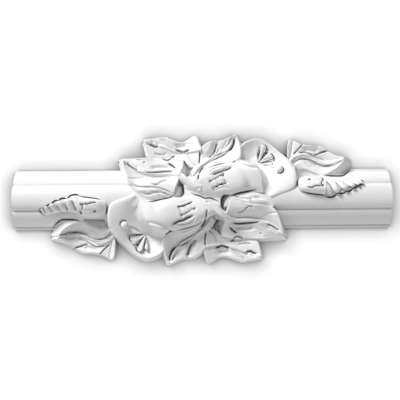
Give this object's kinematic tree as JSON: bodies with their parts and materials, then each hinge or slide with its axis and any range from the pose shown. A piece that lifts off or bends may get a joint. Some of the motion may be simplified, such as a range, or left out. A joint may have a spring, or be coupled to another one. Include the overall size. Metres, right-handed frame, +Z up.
{
  "type": "decorative insert",
  "caption": "Straight panel moulding bar with a high-relief spray of leaves, open flowers and buds carved over its middle.",
  "frame": {"origin": "middle of the flat back, at the half-turn axis of the spray, in the wall plane", "axes": "+X along the bar, +Z up the wall, +Y into the wall, so the carved front looks to -Y"},
  "size_m": [0.38, 0.0325, 0.137],
  "materials": {
    "polyurethane": "factory-primed white, satin to matte"
  },
  "bodies": {
    "root": {"insert": "polyurethane"}
  },
  "joints": []
}
